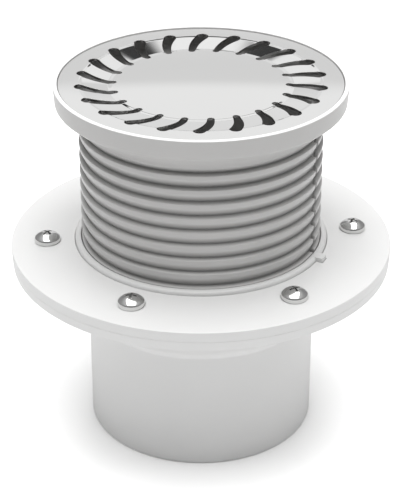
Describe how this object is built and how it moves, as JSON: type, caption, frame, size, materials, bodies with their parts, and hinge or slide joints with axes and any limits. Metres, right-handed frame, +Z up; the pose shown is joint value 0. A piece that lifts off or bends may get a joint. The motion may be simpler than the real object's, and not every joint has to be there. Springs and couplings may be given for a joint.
{
  "type": "floor drain",
  "caption": "Round floor drain with a flanged body, clamping ring, height-adjustable ringed neck and a slotted stainless grate.",
  "frame": {"origin": "centre of the pipe spigot's lower end, on which the drain stands", "axes": "+Z up along the drain's axis, from the spigot to the grate; +X to the right and -Y to the front, as the picture shows it"},
  "size_m": [0.1826, 0.1826, 0.1772],
  "materials": {
    "white_plastic": "satin moulded polypropylene",
    "grey_plastic": "satin moulded polypropylene",
    "black_rubber": "matt rubber",
    "polished_steel": "polished stainless steel sheet",
    "screw_steel": "bright stainless steel"
  },
  "bodies": {
    "base": {"drain_body": "white_plastic", "clamping_ring": "white_plastic", "flange_gasket": "black_rubber", "screw_1": "screw_steel", "screw_2": "screw_steel", "screw_3": "screw_steel", "screw_4": "screw_steel", "screw_5": "screw_steel", "screw_6": "screw_steel", "nut_1": "screw_steel", "nut_2": "screw_steel", "nut_3": "screw_steel", "nut_4": "screw_steel", "nut_5": "screw_steel", "nut_6": "screw_steel"},
    "seal": {"neck_seal": "black_rubber"},
    "neck": {"neck": "grey_plastic", "grate": "polished_steel"}
  },
  "joints": [
    {"name": "neck_height", "type": "slide", "parent": "base", "child": "seal", "axis": [0, 0, 1], "range_m": [-0.005, 0.015]},
    {"name": "neck_turn", "type": "hinge", "parent": "seal", "child": "neck", "pos_m": [0, 0, 0.1], "axis": [0, 0, 1], "continuous": true}
  ]
}
